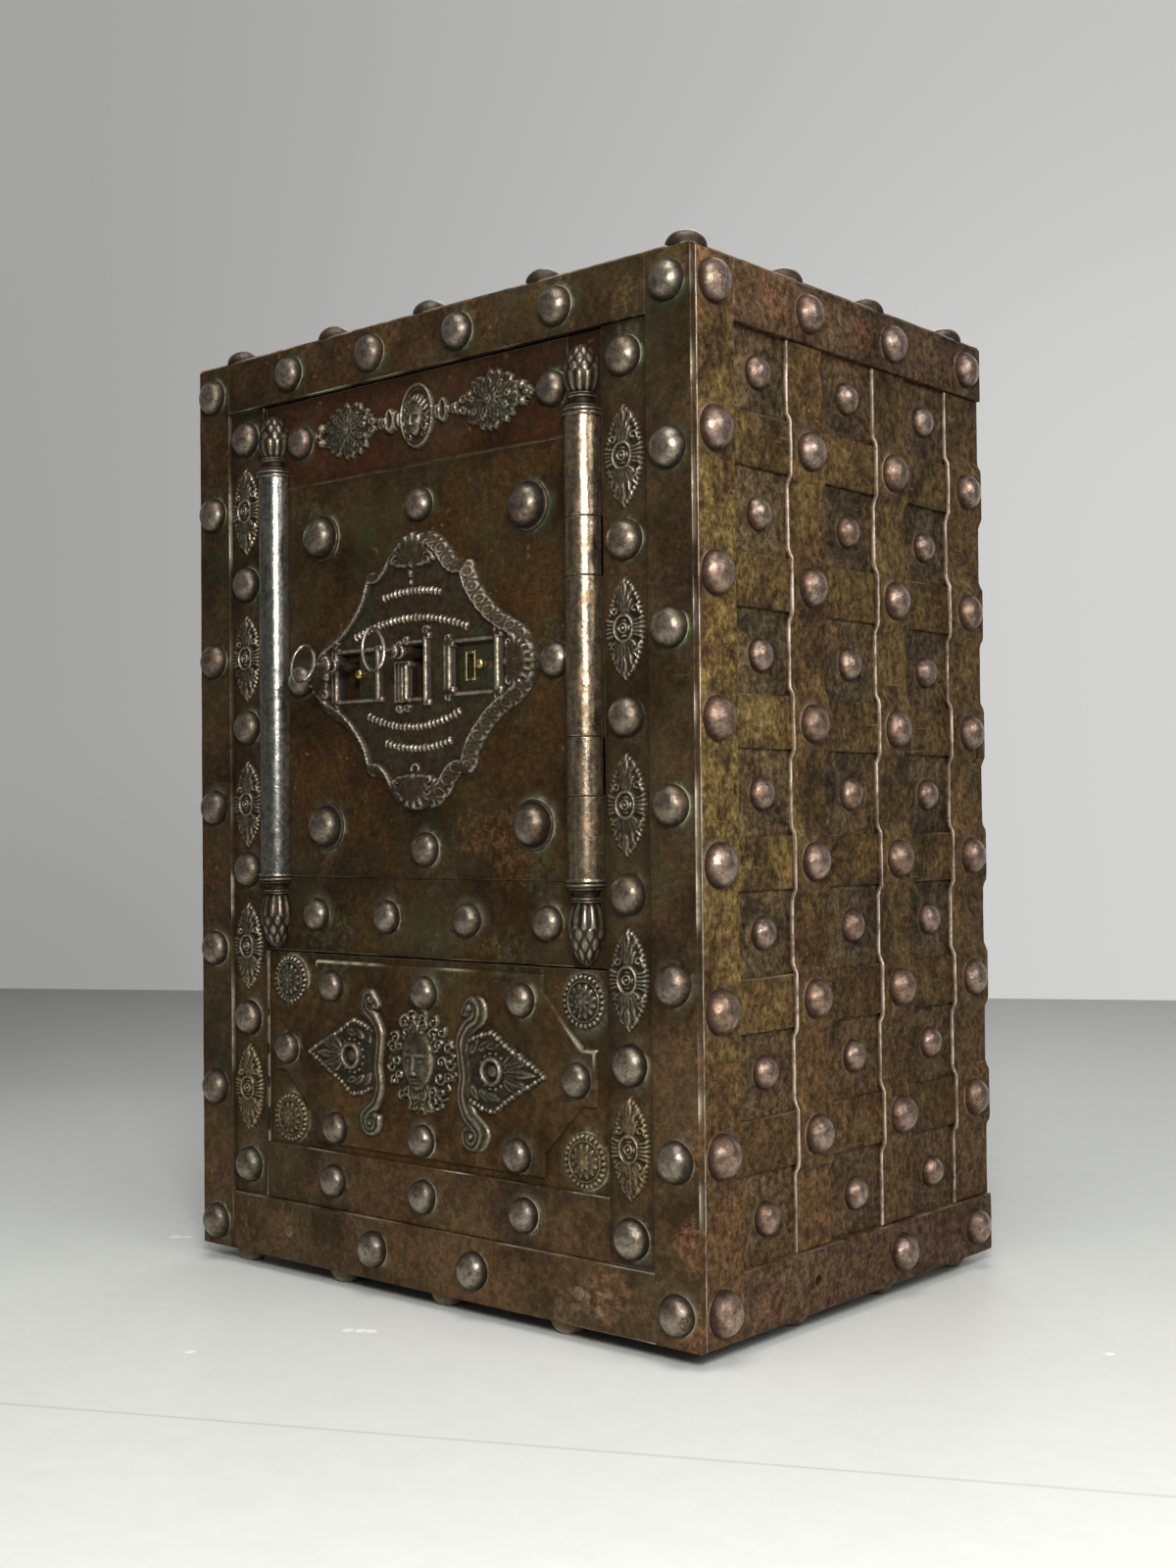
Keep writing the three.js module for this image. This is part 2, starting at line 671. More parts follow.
function sidePlate(side, studIsLost) {
  const reach = (x0, x1) => [side * x0, side * x1];
  const frontStrapY = frontY + cornerStrapWidth;
  const solids = [block(reach(sheetInnerX, sheetX), [sideFrontY, halfDepth], [0, bodyHeight])];
  for (const z of rowZs) {
    solids.push(block(reach(sheetInnerX, weaveX), [sideFrontY, halfDepth],
      [z - rowStrapWidth / 2, z + rowStrapWidth / 2]));
  }
  solids.push(block(reach(sheetInnerX, halfWidth), [sideFrontY, frontStrapY], [0, bodyHeight]));
  solids.push(block(reach(sheetInnerX, halfWidth), [sideFrontY, halfDepth], [0, bottomBandHeight]));
  solids.push(block(reach(sheetInnerX, halfWidth), [sideFrontY, halfDepth], [topBandZ, bodyHeight]));
  const weaveYs = [...weaveShares.map((share) => share * halfDepth), backStrapY];
  const bandZs = [bottomBandHeight / 2, (topBandZ + bodyHeight) / 2];
  for (const z of [bandZs[0], ...rowZs, bandZs[1]]) {
    solids.push(sideStud(side, cornerStudRadius, halfWidth, cornerStrapY, z));
  }
  for (const z of bandZs) {
    for (const y of weaveYs) {
      const lost = studIsLost && z === bandZs[0] && y === weaveYs[0];
      if (!lost) solids.push(sideStud(side, frameStudRadius, halfWidth, y, z));
    }
  }
  for (const y of bayShares.map((share) => share * halfDepth)) {
    for (const z of recessRowShares.map((share) => share * bodyHeight)) {
      solids.push(sideStud(side, recessStudRadius, sheetX, y, z));
    }
  }
  const whole = fuse(solids);
  if (!studIsLost) return whole;
  const hole = toSide(rod(lostStudHoleRadius, sheetInnerX - overrun, halfWidth + overrun, sideStudSides), side);
  return cut(whole, hole.translate(0, weaveYs[0], bandZs[0]));
}

// A strap that lies on the sheet and steps out over each row strap
function wovenStrap(side, y, width) {
  const bottomZ = bottomBandHeight + seatGap;
  const topZ = topBandZ - seatGap;
  const reach = rowStrapWidth / 2 + seatGap;
  const path = [[0, bottomZ]];
  for (const z of rowZs) {
    path.push([0, z - reach - joggleLength], [1, z - reach], [1, z + reach], [0, z + reach + joggleLength]);
  }
  path.push([0, topZ]);
  const inner = path.map(([level, z]) => [side * (sheetX + seatGap + level * strapThickness), z]);
  const outer = path.map(([level, z]) => [side * (sheetX + strapThickness + level * strapThickness), z]);
  const strap = plate(shapeOf([...inner, ...outer.reverse()]), width / 2, width);
  const studs = rowZs.map((z) => sideStud(side, frameStudRadius, halfWidth, 0, z));
  return fuse(strap, studs).translate(0, y, 0);
}

// Front frame

function outerStile(side, studShares) {
  const bar = block([side * stileInnerX, side * halfWidth], [frontY, frameBackY], [0, bodyHeight]);
  const x = side * (stileInnerX + halfWidth) / 2;
  return fuse(bar, studShares.map((share) => frontStud(frameStudRadius, x, frontY, share * bodyHeight)));
}

function topRail() {
  const x = stileInnerX - seatGap;
  const z = (topRailZ + bodyHeight) / 2;
  const bar = block([-x, x], [frontY, frameBackY], [topRailZ, bodyHeight]);
  return fuse(bar, topRailShares.map((share) => frontStud(frameStudRadius, share * halfWidth, frontY, z)));
}

function bottomRail() {
  const x = stileInnerX - seatGap;
  const z = bottomRailHeight / 2;
  const bar = block([-x, x], [frontY, frameBackY], [0, bottomRailHeight]);
  const studs = bottomRailShares.map((share) => frontStud(frameStudRadius, share * halfWidth, frontY, z));
  const rivet = (share) => toFront(rod(flatRivetRadius, -root, flatRivetHeight, sideStudSides))
    .translate(share * halfWidth, frontY, z);
  return fuse(bar, studs, flatRivetShares.map(rivet));
}

function lozenge(x, z) {
  const leaf = castPlate(mirroredShape(lozengeOutlineShares, lozengeWidth, lozengeHeight, x, z), innerFaceY,
    lozengeThickness, root);
  const rise = lozengeThickness + lozengeBossHeight;
  const eye = toFront(turned([[0, -root], [lozengeBossRadius, -root], [lozengeBossRadius, lozengeThickness],
    [0, rise]], sideStudSides)).translate(x, innerFaceY, z);
  return [leaf, eye];
}

function innerStile(side, studShares, lozengeShares, mortises) {
  const reach = (x0, x1) => [side * x0, side * x1];
  const z = [panelBottomZ, topRailZ - seatGap];
  const face = block(reach(openingX, stileInnerX - seatGap), [innerFaceY, frameBackY], z);
  const flange = block(reach(openingX, jambX), [innerFaceY, jambBackY], z);
  const x = side * (openingX + innerStileWidth / 2);
  const studs = studShares.map((share) => frontStud(frameStudRadius, x, innerFaceY, share * bodyHeight));
  const leaves = lozengeShares.flatMap((share) => lozenge(x, share * bodyHeight));
  return cut(fuse(face, flange, studs, leaves), mortises);
}

// Holes in the jamb and the oak behind it for the ends of the bolts
function mortise(side, z, height) {
  const depth = boltTipX + boltThrow + mortiseMargin;
  return block([side * (openingX - overrun), side * depth],
    [boltFrontY - slideGap - seatGap, boltBackY + slideGap + seatGap],
    [z - slideGap - seatGap, z + height + slideGap + seatGap]);
}

const leftMortises = [...boltHeadZs.map((z) => mortise(-1, z - boltHeadHeight / 2, boltHeadHeight)),
  mortise(-1, leftBarZ, sideBarHeight)];
const rightMortises = [mortise(1, rightBarZ, sideBarHeight)];

// Fixed lower front

function medallion(x, z) {
  const rim = medallionRimShares.map(([u, v]) => [u * medallionRadius, v * medallionThickness]);
  const profile = [[0, -root], [medallionRadius, -root], ...rim, [0, medallionThickness + medallionRise]];
  return toFront(turned(profile, columnSides)).translate(x, panelFaceY, z);
}

function lowerPanel() {
  const x = openingX - seatGap;
  const base = block([-x, x], [panelFaceY, panelBackY], [panelBottomZ, sillHeight]);
  const reach = medallionRadius + medallionMargin;
  const medallions = medallionShares.flatMap((share) => [bandTopZ + reach, sillHeight - reach]
    .map((z) => medallion(share * raisedPlateWidth / 2, z)));
  return fuse(base, medallions);
}

function lowerBand() {
  const x = openingX - seatGap;
  const base = block([-x, x], [innerFaceY, panelFaceY - seatGap], [panelBottomZ, bandTopZ]);
  const z = (panelBottomZ + bandTopZ) / 2;
  return fuse(base, bandStudShares.map((share) => frontStud(doorStudRadius, share * openingX, innerFaceY, z)));
}

function raisedPlate() {
  const right = raisedOutlineShares.map(([u, v]) => [u * raisedPlateWidth / 2, v * raisedPlateHeight / 2]);
  const left = right.map(([u, v]) => [-u, v]).reverse();
  const outline = [...right, ...left].map(([u, v]) => [u, raisedPlateZ + v]);
  const base = plate(shapeOf(outline), panelFaceY - seatGap, raisedPlateThickness);
  const studAt = ([u, v]) => frontStud(panelStudRadius, u * raisedPlateWidth / 2, raisedFaceY,
    raisedPlateZ + v * raisedPlateHeight / 2);
  return fuse(base, raisedStudShares.map(studAt));
}

function maskOrnament() {
  const backY = raisedFaceY - seatGap;
  const z = raisedPlateZ + maskLift;
  const wreath = castPlate(scallopedShape(maskWidth, maskHeight, maskLobes, maskLobeShare, 0, z), backY,
    maskThickness);
  const face = ellipsoid(maskFaceWidth, maskFaceRise, maskFaceHeight, frontStudSides)
    .translate(0, backY - maskThickness, z);
  return cut(fuse(wreath, face), behind(backY));
}

function scrollOrnament(side) {
  const backY = raisedFaceY - seatGap;
  const x = (u) => side * (scrollInset + u * scrollWidth);
  const z = raisedPlateZ;
  const outline = scrollOutlineShares.map(([u, v]) => [x(u), z + v * scrollHeight / 2]);
  const leaf = castPlate(shapeOf(outline), backY, scrollThickness);
  const ring = toFront(new THREE.TorusGeometry(scrollRingRadius, scrollRingWire, 4, sideStudSides * 2))
    .translate(x(scrollRingShare), backY - scrollThickness, z);
  return cut(fuse(leaf, ring), behind(backY));
}

// Oak carcass, floor, well lid and shelf

function oakSide(side, mortises) {
  const reach = (x0, x1) => [side * x0, side * x1];
  const board = block(reach(cavityX, oakX), [sideFrontY, oakBackY], [oakBottomZ, oakTopZ]);
  const post = block(reach(jambX + seatGap, cavityX + root), [sideFrontY, jambBackY],
    [cavityBottomZ + seatGap, cavityTopZ - seatGap]);
  const ledge = block(reach(cavityX - ledgeWidth, cavityX + root), [jambBackY, cavityBackY - seatGap],
    [shelfBottomZ - seatGap - ledgeHeight, shelfBottomZ - seatGap]);
  return cut(fuse(board, post, ledge), mortises);
}

function oakPlank(bottomZ, topZ) {
  const x = cavityX - seatGap;
  return block([-x, x], [sideFrontY, cavityBackY - seatGap], [bottomZ, topZ]);
}

function oakBack() {
  const x = cavityX - seatGap;
  return block([-x, x], [cavityBackY, oakBackY], [oakBottomZ, oakTopZ]);
}

function oakFrontLower() {
  const x = openingX - seatGap;
  const y = panelBackY + seatGap;
  return block([-x, x], [y, y + oakThickness], [cavityBottomZ + seatGap, floorBottomZ - seatGap]);
}

function floorOutline() {
  const x = cavityX - seatGap;
  const neck = openingX - seatGap;
  const neckBackY = jambBackY + seatGap;
  const backY = cavityBackY - seatGap;
  const right = [[neck, panelBackY + seatGap], [neck, neckBackY], [x, neckBackY], [x, backY]];
  return shapeOf([...right, ...right.map(([u, v]) => [-u, v]).reverse()]);
}

function along(shape) {
  return shape.rotateY(Math.PI / 2);
}

function compartmentFloor() {
  const board = indexed(new THREE.ExtrudeGeometry(floorOutline(), { depth: floorThickness, bevelEnabled: false }))
    .translate(0, 0, floorBottomZ);
  const rebateX = lidWidth / 2 + runGap;
  const rebate = block([-rebateX, rebateX], [lidFrontY - runGap, lidHingeY],
    [floorTopZ - lidThickness - seatGap, floorTopZ + overrun]);
  const wellX = lidWidth / 2 - lidLedge;
  const well = block([-wellX, wellX], [lidFrontY + lidLedge, lidHingeY - lidHeel - lidLedge],
    [floorBottomZ - overrun, floorTopZ]);
  const ears = [-1, 1].flatMap((end) => {
    const middleX = end * (lidKnuckleLength / 2 + seatGap + lidEarLength / 2);
    return lidKnuckle(middleX, lidEarLength, lidHingeY + seatGap, lidHingeY + lidEarDepth);
  });
  return cut(fuse(cut(board, rebate, well), ears), lidPinRod(lidPinRadius + pinGap, overrun));
}

// A barrel round the lid's pin, with the strap that carries it
function lidKnuckle(middleX, length, y0, y1) {
  const barrel = along(rod(lidKnuckleRadius, -length / 2, length / 2, sideStudSides));
  const strap = block([middleX - length / 2, middleX + length / 2], [y0, y1], [floorTopZ - root, lidAxisZ]);
  return [barrel.translate(middleX, lidHingeY, lidAxisZ), strap];
}

function lidPinRod(radius, extra) {
  const x = lidKnuckleLength / 2 + lidEarLength + extra;
  return along(rod(radius, -x, x, sideStudSides)).translate(0, lidHingeY, lidAxisZ);
}

function ringPlace() {
  return [0, lidFrontY + ringInset, floorTopZ + ringWire + seatGap];
}

function wellLid() {
  const x = lidWidth / 2;
  const board = block([-x, x], [lidFrontY, lidHingeY - lidHeel], [floorTopZ - lidThickness, floorTopZ]);
  const knuckle = lidKnuckle(0, lidKnuckleLength, lidHingeY - lidEarDepth, lidHingeY - lidHeel);
  const eye = new THREE.TorusGeometry(ringEyeRadius, ringEyeWire, wireSides, ringSteps).rotateY(Math.PI / 2)
    .translate(...ringPlace());
  return cut(fuse(board, knuckle, eye), lidPinRod(lidPinRadius + pinGap, overrun));
}

function shelf() {
  const x = cavityX - seatGap;
  return block([-x, x], [jambBackY + shelfSetback, cavityBackY - seatGap],
    [shelfBottomZ, shelfBottomZ + shelfThickness]);
}

// Columns. The right one is the barrel of the door hinge

function lowerEnd() {
  const collarTop = shaftBottomZ;
  const collarBottom = collarTop - collarLength;
  const finial = lowerFinialShares.map(([u, v]) => [u * columnRadius, collarBottom - v * lowerFinialLength]);
  const collar = collarShares.map(([u, v]) => [u * collarRadius, collarTop - v * collarLength]);
  return [[0, columnBottomZ], ...finial.reverse(), ...collar.reverse()];
}

function upperEnd() {
  const collarTop = shaftTopZ + collarLength;
  const collar = collarShares.map(([u, v]) => [u * collarRadius, shaftTopZ + v * collarLength]);
  const finial = upperFinialShares.map(([u, v]) => [u * columnRadius, collarTop + v * upperFinialLength]);
  return [...collar, ...finial, [0, columnTopZ]];
}

function leftColumn() {
  const profile = [...lowerEnd(), [columnRadius, shaftBottomZ], [columnRadius, shaftTopZ], ...upperEnd()];
  return cut(turned(profile, columnSides).translate(-hingeX, hingeY, 0), behind(doorFaceY - seatGap));
}

function doorSegment(profile, z0, z1) {
  const column = turned(profile, columnSides).translate(hingeX, hingeY, 0);
  const strip = block([stripLeftX, stripRightX], [doorFaceY, plateBackY], [z0, z1]);
  return cut(fuse(column, strip), hingePin(hingePinRadius + pinGap, pinGap));
}

function hingePin(radius, extra) {
  const z0 = shaftBottomZ + hingePinMargin - extra;
  const z1 = shaftTopZ - hingePinMargin + extra;
  return rod(radius, z0, z1, columnSides).translate(hingeX, hingeY, 0);
}

function columnSegments() {
  const lowerTop = knuckleZs[0] - knuckleJoint;
  const middleBottom = knuckleZs[0] + knuckleHeight + knuckleJoint;
  const middleTop = knuckleZs[1] - knuckleJoint;
  const upperBottom = knuckleZs[1] + knuckleHeight + knuckleJoint;
  const shaft = columnRadius;
  const lower = [...lowerEnd(), [shaft, shaftBottomZ], [shaft, lowerTop], [0, lowerTop]];
  const middle = [[0, middleBottom], [shaft, middleBottom], [shaft, middleTop], [0, middleTop]];
  const upper = [[0, upperBottom], [shaft, upperBottom], [shaft, shaftTopZ], ...upperEnd()];
  return {
    lower: doorSegment(lower, doorBottomZ, lowerTop),
    middle: doorSegment(middle, middleBottom, middleTop),
    upper: doorSegment(upper, upperBottom, doorTopZ),
  };
}

// A knuckle with its arm and its leaf on the jamb
function hingeKnuckle(z) {
  const zs = [z, z + knuckleHeight];
  const leafX = openingX - seatGap;
  const barrel = rod(columnRadius, ...zs, columnSides).translate(hingeX, hingeY, 0);
  const arm = block([hingeX, leafX], [doorFaceY, plateBackY], zs);
  const leaf = block([leafX - leafThickness, leafX], [doorFaceY, doorFaceY + leafDepth], zs);
  return cut(fuse(barrel, arm, leaf), hingePin(hingePinRadius + pinGap, pinGap));
}

// Door plates and core

function doorPlateOf(z0, z1, extras) {
  return fuse(block([doorLeftX, plateRightX], [doorFaceY, plateBackY], [z0, z1]), extras);
}

function headerPlate() {
  const z = headerBottomZ + headerStudRiseShare * headerHeight;
  const studs = [-1, 1].map((end) => frontStud(doorStudRadius, end * headerStudShare * openingX, doorFaceY, z));
  return doorPlateOf(headerBottomZ, doorTopZ, studs);
}

function footPlate() {
  const z = (doorBottomZ + footPlateTopZ) / 2;
  const studs = footStudShares.map((share) => frontStud(doorStudRadius, share * openingX, doorFaceY, z));
  return doorPlateOf(doorBottomZ, footPlateTopZ - seatGap, studs);
}

function keyhole(x, z, reach, y0, y1) {
  const hole = toFront(rod(keyholeRadius, -y1, -y0, sideStudSides * 2)).translate(x, 0, z);
  const slot = block([x - keyholeSlot / 2, x + keyholeSlot / 2], [y0, y1], [z - reach - runGap, z]);
  return [hole, slot];
}

function keyholes(y0, y1) {
  const half = centreWindowHeight / 2;
  const middle = lockZ + centreWindowLift;
  return [...keyhole(-leftKeyOffset, leftKeyZ, sideBitReach, y0, y1),
    block([centreKeyOffset - centreWindowWidth / 2, centreKeyOffset + centreWindowWidth / 2], [y0, y1],
      [middle - half, middle + half]),
    block([rightKeyOffset - keySlotWidth / 2, rightKeyOffset + keySlotWidth / 2], [y0, y1],
      [lockZ - keySlotHeight / 2, lockZ + keySlotHeight / 2])];
}

function centrePlate() {
  const place = ([u, v]) => [u * openingX, footPlateTopZ + v * centrePlateHeight];
  const bosses = bossShares.map(place).map(([x, z]) => toFront(boss()).translate(x, doorFaceY, z));
  const studs = centreStudShares.map(place).map(([x, z]) => frontStud(doorStudRadius, x, doorFaceY, z));
  const whole = doorPlateOf(footPlateTopZ, headerBottomZ - seatGap, [...bosses, ...studs]);
  return cut(whole, keyholes(doorFaceY - overrun, plateBackY + overrun));
}

function lockOpening(y0, y1) {
  return block([-caseLeft - seatGap, caseRight + seatGap], [y0, y1],
    [lockZ - caseBelow - seatGap, lockZ + caseAbove + seatGap]);
}

function doorCore() {
  const z = [sillHeight + coreInset / 2, topRailZ - coreInset / 2];
  const board = block([-coreX, coreX], [coreFrontY, coreBackY], z);
  const groove = rod(collarRadius + runGap, z[0] - overrun, z[1] + overrun, columnSides * 2)
    .translate(hingeX, hingeY, 0);
  return cut(board, groove, lockOpening(coreFrontY - overrun, coreBackY + overrun));
}

// A staple that guides a bolt against the door's back plate
function staple(x, z, height) {
  const y0 = backPlateY + backPlate / 2;
  const innerY = boltBackY + slideGap;
  const z0 = z - slideGap;
  const z1 = z + height + slideGap;
  const xs = [x, x + stapleWidth];
  return [block(xs, [y0, innerY + stapleWall], [z0 - stapleWall, z0]),
    block(xs, [y0, innerY + stapleWall], [z1, z1 + stapleWall]),
    block(xs, [innerY, innerY + stapleWall], [z0 - stapleWall, z1 + stapleWall])];
}

function doorBackPlate() {
  const inset = coreInset;
  const plain = block([-coreX, coreX], [backPlateY, backPlateY + backPlate],
    [sillHeight + inset, topRailZ - inset]);
  const leftX = -stapleX - stapleWidth;
  const headStaples = boltHeadZs.flatMap((z) => staple(leftX, z - boltHeadHeight / 2, boltHeadHeight));
  const staples = [...headStaples, ...staple(leftX, leftBarZ, sideBarHeight),
    ...staple(stapleX, rightBarZ, sideBarHeight)];
  return cut(fuse(plain, staples), lockOpening(backPlateY - overrun, backPlateY + backPlate + overrun));
}

// Header ornaments

function headerOrnamentZ() {
  return headerBottomZ + headerOrnamentRiseShare * headerHeight;
}

function headerRosette(side) {
  const x = side * (rosetteInset + rosetteWidth / 2);
  const backY = doorFaceY - seatGap;
  const z = headerOrnamentZ();
  const leaf = castPlate(scallopedShape(rosetteWidth, rosetteHeight, rosetteLobes, rosetteLobeShare, x, z), backY,
    rosetteThickness);
  const rise = rosetteThickness + rosetteDomeHeight;
  const eye = toFront(turned([[0, 0], [rosetteDomeRadius, 0], [rosetteDomeRadius, rosetteThickness],
    [rosetteDomeRadius / 2, rise], [0, rise]], frontStudSides)).translate(x, backY, z);
  return fuse(leaf, eye);
}

function headMedallion() {
  const backY = doorFaceY - seatGap;
  const z = headerOrnamentZ();
  const disc = castPlate(scallopedShape(headMedallionWidth, headMedallionHeight, headMedallionLobes,
    headMedallionLobeShare, 0, z), backY, headMedallionThickness);
  const head = ellipsoid(headWidth, headRise, headHeight, frontStudSides)
    .translate(0, backY - headMedallionThickness, z);
  const turnedEnd = spoolShares.map(([u, v]) => [u * spoolRadius, v * spoolReach]);
  const otherEnd = [...turnedEnd].reverse().map(([radius, reach]) => [radius, -reach]);
  const spool = along(turned([[0, -spoolReach], ...otherEnd, ...turnedEnd, [0, spoolReach]], sideStudSides))
    .translate(0, backY, z);
  return cut(fuse(disc, head, spool), behind(backY));
}

// Lock cartouche

function cartoucheShape(inset) {
  return mirroredShape(cartoucheOutlineShares, cartoucheWidth - inset * 2, cartoucheHeight - inset * 2, 0, lockZ);
}

function sideWindowX(side) {
  const ends = sideWindowShares.map((share) => side * share * cartoucheWidth / 2);
  return ends.sort((a, b) => a - b);
}

const sideWindowZ = [lockZ + windowLift - windowHeight / 2, lockZ + windowLift + windowHeight / 2];
const centreWindowX = [centreKeyOffset - centreWindowWidth / 2, centreKeyOffset + centreWindowWidth / 2];
const centreWindowZ = [lockZ + centreWindowLift - centreWindowHeight / 2,
  lockZ + centreWindowLift + centreWindowHeight / 2];
const shutterZ = [sideWindowZ[0] - shutterLap, sideWindowZ[1] + shutterLap];
const rightShutterX = [sideWindowX(1)[0] - shutterLap, sideWindowX(1)[1] + rightShutterTravel + shutterLap];
const leftShutterStart = -leftKeyOffset + shankRadius + doorGap;
const leftShutterX = [leftShutterStart, leftShutterStart + leftShutterWidth];

function moulding([x0, x1], [z0, z1]) {
  const tallY = [cartoucheFaceY - mouldingRise, cartoucheFaceY + root];
  const lowY = [cartoucheFaceY - mouldingRise / 2, cartoucheFaceY + root];
  const over = mouldingOver;
  return [block([x0 - mouldingWidth, x0], tallY, [z0 - over, z1 + over]),
    block([x1, x1 + mouldingWidth], tallY, [z0 - over, z1 + over]),
    block([x0 - root, x1 + root], lowY, [z1, z1 + over]),
    block([x0 - root, x1 + root], lowY, [z0 - over, z0])];
}

function shell(x, z) {
  const top = cartoucheThickness + shellRise;
  return toFront(turned([[0, 0], [shellRadius, 0], [shellRadius, cartoucheThickness],
    [shellRadius * shellCrownShare, top], [0, top]], frontStudSides)).translate(x, cartoucheBackY, z);
}

function cartouche() {
  const base = plate(cartoucheShape(0), cartoucheBackY, cartoucheThickness);
  const ring = cartoucheShape(0);
  ring.holes.push(new THREE.Path(cartoucheShape(cartoucheBorder).getPoints().reverse()));
  const midY = cartoucheBackY - cartoucheThickness / 2;
  const border = plate(ring, midY, cartoucheThickness / 2 + cartoucheBorderRise);
  const reachX = cartoucheWidth / 2 - shellRadius;
  const reachZ = cartoucheHeight / 2 - shellRadius;
  const shells = [[-reachX, 0], [reachX, 0], [0, -reachZ], [0, reachZ]].map(([x, z]) => shell(x, lockZ + z));
  const windows = [[sideWindowX(-1), sideWindowZ], [sideWindowX(1), sideWindowZ],
    [centreWindowX, centreWindowZ]];
  const whole = fuse(base, border, shells, windows.flatMap(([xs, zs]) => moulding(xs, zs)));
  const through = [cartoucheBackY + overrun, cartoucheFaceY - overrun];
  const holes = windows.map(([xs, zs]) => block(xs, through, zs));
  const pocketZ = [shutterZ[0] - slideGap, shutterZ[1] + slideGap];
  const pocketY = [cartoucheBackY + overrun, cartoucheBackY - pocketDepth];
  const pockets = [[leftShutterX[0], leftShutterX[1] + leftShutterTravel],
    [rightShutterX[0] - rightShutterTravel, rightShutterX[1]]];
  return cut(whole, holes, pockets.map(([x0, x1]) => block([x0 - slideGap, x1 + slideGap], pocketY, pocketZ)));
}

function shutterKnob(x, z) {
  const ball = knobBallShares.map(([u, v]) => [u * shutterKnobRadius, cartoucheThickness + v * shutterKnobRadius]);
  const profile = [[0, 0], [shutterKnobStem, 0], [shutterKnobStem, cartoucheThickness], ...ball];
  return toFront(turned(profile, frontStudSides)).translate(x, shutterBackY - shutterThickness / 2, z);
}

function leftShutter() {
  const base = block(leftShutterX, [shutterBackY - shutterThickness, shutterBackY], shutterZ);
  return fuse(base, shutterKnob(leftShutterX[0] + leftShutterWidth / 3, lockZ));
}

function rightShutter() {
  const faceY = shutterBackY - shutterThickness;
  const base = block(rightShutterX, [faceY, shutterBackY], shutterZ);
  const slotX = keySlotWidth / 2;
  const slotZ = keySlotHeight / 2;
  const bezel = block([rightKeyOffset - slotX - bezelWidth, rightKeyOffset + slotX + bezelWidth],
    [faceY - bezelRise, shutterBackY], [lockZ - slotZ - bezelWidth, lockZ + slotZ + bezelWidth]);
  const slot = block([rightKeyOffset - slotX, rightKeyOffset + slotX], [faceY - overrun, shutterBackY + overrun],
    [lockZ - slotZ, lockZ + slotZ]);
  const [windowStart, windowEnd] = sideWindowX(1);
  const knobX = windowEnd - (windowEnd - windowStart) / 4;
  return cut(fuse(base, bezel, shutterKnob(knobX, lockZ)), slot);
}

// Lock case and cover

function lockCase() {
  const xs = [-caseLeft, caseRight];
  const zs = [lockZ - caseBelow, lockZ + caseAbove];
  const shellBlock = block(xs, [caseFrontY, caseBackY], zs);
  const hollow = block([xs[0] + caseWall, xs[1] - caseWall], [caseFrontY + caseWall, caseBackY + overrun],
    [zs[0] + caseWall, zs[1] - caseWall]);
  const slot = (side, z, height) => block([side * caseWall * 2, side * (caseLeft + overrun)],
    [boltFrontY - slideGap, boltBackY + slideGap], [z - slideGap, z + height + slideGap]);
  const slots = [slot(-1, mainBarZ, mainBarHeight), slot(-1, leftBarZ, sideBarHeight),
    slot(1, rightBarZ, sideBarHeight)];
  return cut(shellBlock, hollow, slots, keyholes(caseFrontY - overrun, caseFrontY + caseWall + overrun));
}

// The cover carries a socket for the end of each key
function lockCover() {
  const faceY = caseBackY + seatGap;
  const xs = [-caseLeft - coverLap, caseRight + coverLap];
  const zs = [lockZ - caseBelow - coverLap, lockZ + caseAbove + coverLap];
  const places = [[-leftKeyOffset, leftKeyZ], [centreKeyOffset, centreKeyZ], [rightKeyOffset, rightKeyZ]];
  const reach = keySocketLength - faceY;
  const sockets = places.map(([x, z]) => toFront(rod(keySocketRadius, -faceY - root, reach, columnSides))
    .translate(x, 0, z));
  const boreRadius = shankRadius + slideGap;
  const bores = places.map(([x, z]) => toFront(rod(boreRadius, -keyTailY - slideGap, reach + overrun, columnSides))
    .translate(x, 0, z));
  return cut(fuse(block(xs, [faceY, faceY + coverThickness], zs), sockets), bores);
}

// Keys. Each is made about its own axis, with its bow out at -Y and its bit down

function key(bitReach, bowHeight, bowReach) {
  const bowY = cartoucheFaceY - bowReach;
  const collarY = cartoucheFaceY - shankCollarReach;
  const collarEndY = collarY - shankCollarLength;
  const neckY = bowY + bowDepth / 2;
  const profile = [[0, -keyTailY], [shankRadius, -keyTailY], [shankRadius, -collarY],
    [shankCollarRadius, -collarY], [shankRadius, (-collarY - collarEndY) / 2], [shankCollarRadius, -collarEndY],
    [shankRadius * shankNeckShare, -neckY], [0, -neckY + keyWire]];
  const shank = toFront(turned(profile, frontStudSides));
  const wireShare = keyWire / (bowDepth / 2);
  const bow = new THREE.TorusGeometry(1 - wireShare, wireShare, wireSides, ringSteps)
    .rotateY(Math.PI / 2)
    .scale(bowDepth / 2, bowDepth / 2, bowHeight / 2);
  const bit = block([-bitThickness / 2, bitThickness / 2], [boltFrontY, boltBackY], [-bitReach, 0]);
  return fuse(shank, bow.translate(0, bowY, 0), bit);
}

// Bolts

// The stretch of a bar that its key's bit sweeps while the bar slides, from the key's axis
function notchSpan(reach, startAngle) {
  const half = Math.acos((reach - bitBite) / reach);
  const slideAt = (angle) => boltThrow * (angle - startAngle) / (Math.PI * 2);
  const margin = bitThickness / 2 + runGap;
  return [slideAt(Math.PI + half) - reach * Math.sin(half) - margin,
    slideAt(Math.PI - half) + reach * Math.sin(half) + margin];
}

